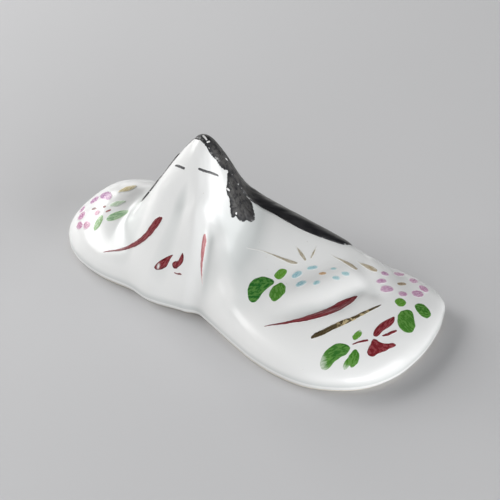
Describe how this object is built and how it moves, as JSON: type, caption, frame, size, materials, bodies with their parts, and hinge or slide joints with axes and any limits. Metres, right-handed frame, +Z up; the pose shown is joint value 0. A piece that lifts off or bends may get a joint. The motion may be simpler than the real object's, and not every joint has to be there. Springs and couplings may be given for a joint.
{
  "type": "chopstick rest",
  "caption": "Porcelain chopstick rest in the shape of a reclining robed doll with long black hair; the low robe on each side of the peaked head carries the chopstick tips.",
  "frame": {"origin": "middle of the footprint on the table, under the middle of the outline's box", "axes": "+X along the length towards the wide painted sleeve, +Y to the back where the hair falls, +Z up"},
  "size_m": [0.0706, 0.0318, 0.0294],
  "materials": {
    "bisque_porcelain": "unglazed matt bisque",
    "white_glaze": "glossy clear-white glaze",
    "black_hair_enamel": "glossy black enamel with brush streaks",
    "black_lock_right_enamel": "glossy black enamel with brush streaks",
    "black_lock_left_enamel": "glossy black enamel with brush streaks",
    "left_eye_enamel": "thin grey-black enamel line",
    "right_eye_enamel": "thin grey-black enamel line",
    "left_sleeve_red_enamel": "deep red enamel brush stroke",
    "chest_red_enamel": "deep red enamel brush strokes",
    "centre_fold_red_enamel": "thin pale red enamel",
    "right_sleeve_red_enamel": "deep red enamel brush stroke",
    "branch_enamel": "brown enamel with a gold middle",
    "chest_leaf_enamel": "translucent green enamel",
    "blue_petal_enamel": "pale blue enamel dabs",
    "blue_middle_enamel": "orange enamel dab",
    "gold_grass_enamel": "thin gold-brown enamel",
    "pink_petal_enamel": "lavender pink enamel dabs",
    "pink_middle_enamel": "brown enamel dab",
    "upper_leaf_enamel": "translucent green enamel",
    "blossom_enamel": "deep red enamel with a gold fleck",
    "lower_leaf_enamel": "green enamel that fades at one end",
    "left_petal_enamel": "lavender pink enamel dabs",
    "left_leaf_enamel": "soft green enamel",
    "left_gold_enamel": "pale gold enamel",
    "left_pale_enamel": "pale green enamel",
    "left_stamen_enamel": "dark enamel dots"
  },
  "bodies": {
    "root": {"porcelain_body": "bisque_porcelain", "white_glaze": "white_glaze", "hair_back": "black_hair_enamel", "hair_lock_right": "black_lock_right_enamel", "hair_lock_left": "black_lock_left_enamel", "left_eye_stroke": "left_eye_enamel", "right_eye_stroke": "right_eye_enamel", "left_sleeve_red_stroke": "left_sleeve_red_enamel", "chest_red_strokes": "chest_red_enamel", "centre_fold_red_stroke": "centre_fold_red_enamel", "right_sleeve_red_stroke": "right_sleeve_red_enamel", "right_sleeve_branch_stroke": "branch_enamel", "chest_leaves": "chest_leaf_enamel", "blue_flower_petals": "blue_petal_enamel", "blue_flower_middle": "blue_middle_enamel", "gold_grass_strokes": "gold_grass_enamel", "pink_flower_petals": "pink_petal_enamel", "pink_flower_middle": "pink_middle_enamel", "right_sleeve_upper_leaves": "upper_leaf_enamel", "red_blossom_strokes": "blossom_enamel", "right_sleeve_lower_leaves": "lower_leaf_enamel", "left_sleeve_pink_petals": "left_petal_enamel", "left_sleeve_leaves": "left_leaf_enamel", "left_sleeve_gold_stroke": "left_gold_enamel", "left_sleeve_pale_stroke": "left_pale_enamel", "left_sleeve_stamens": "left_stamen_enamel"}
  },
  "joints": []
}
